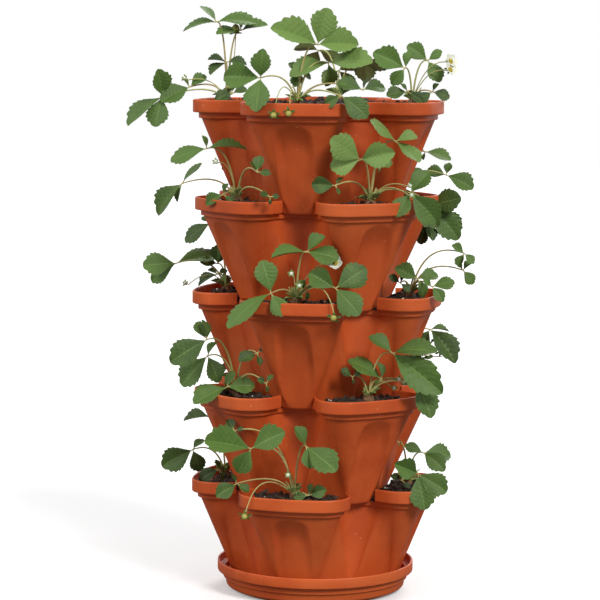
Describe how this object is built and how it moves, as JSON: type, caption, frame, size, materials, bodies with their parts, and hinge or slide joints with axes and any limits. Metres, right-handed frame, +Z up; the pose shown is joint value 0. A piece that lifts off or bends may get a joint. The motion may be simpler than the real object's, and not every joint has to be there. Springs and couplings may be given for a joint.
{
  "type": "vertical planter tower",
  "caption": "Tower of stacked four-lobed terracotta-coloured pots, each turned on the one below, with strawberry plants in the open pockets and a round drip saucer.",
  "frame": {"origin": "centre of the saucer's flat underside, which stands on the ground", "axes": "+Z up along the stack, -Y towards the viewer's side named front, +X to the right as seen from there"},
  "size_m": [0.4115, 0.3668, 0.7047],
  "materials": {
    "terracotta_plastic": "satin moulded plastic, terracotta red-brown",
    "potting_soil": "dark crumbly potting soil with bark pieces",
    "strawberry_plant": "soft green leaves with serrated edges, small white flowers and red berries"
  },
  "bodies": {
    "base": {"saucer": "terracotta_plastic"},
    "tier_1": {"pot_1": "terracotta_plastic", "soil_1": "potting_soil", "strawberry_1_front": "strawberry_plant", "strawberry_1_right": "strawberry_plant", "strawberry_1_back": "strawberry_plant", "strawberry_1_left": "strawberry_plant"},
    "tier_2": {"pot_2": "terracotta_plastic", "soil_2": "potting_soil", "strawberry_2_front_right": "strawberry_plant", "strawberry_2_back_right": "strawberry_plant", "strawberry_2_back_left": "strawberry_plant", "strawberry_2_front_left": "strawberry_plant"},
    "tier_3": {"pot_3": "terracotta_plastic", "soil_3": "potting_soil", "strawberry_3_front": "strawberry_plant", "strawberry_3_right": "strawberry_plant", "strawberry_3_back": "strawberry_plant", "strawberry_3_left": "strawberry_plant"},
    "tier_4": {"pot_4": "terracotta_plastic", "soil_4": "potting_soil", "strawberry_4_front_right": "strawberry_plant", "strawberry_4_back_right": "strawberry_plant", "strawberry_4_back_left": "strawberry_plant", "strawberry_4_front_left": "strawberry_plant"},
    "tier_5": {"pot_5": "terracotta_plastic", "soil_5": "potting_soil", "strawberry_5_front": "strawberry_plant", "strawberry_5_right": "strawberry_plant", "strawberry_5_back": "strawberry_plant", "strawberry_5_left": "strawberry_plant"}
  },
  "joints": [
    {"name": "lift_1", "type": "slide", "parent": "base", "child": "tier_1", "axis": [0, 0, 1], "range_m": [0, 0.15]},
    {"name": "lift_2", "type": "slide", "parent": "tier_1", "child": "tier_2", "axis": [0, 0, 1], "range_m": [0, 0.15]},
    {"name": "lift_3", "type": "slide", "parent": "tier_2", "child": "tier_3", "axis": [0, 0, 1], "range_m": [0, 0.15]},
    {"name": "lift_4", "type": "slide", "parent": "tier_3", "child": "tier_4", "axis": [0, 0, 1], "range_m": [0, 0.15]},
    {"name": "lift_5", "type": "slide", "parent": "tier_4", "child": "tier_5", "axis": [0, 0, 1], "range_m": [0, 0.15]}
  ]
}
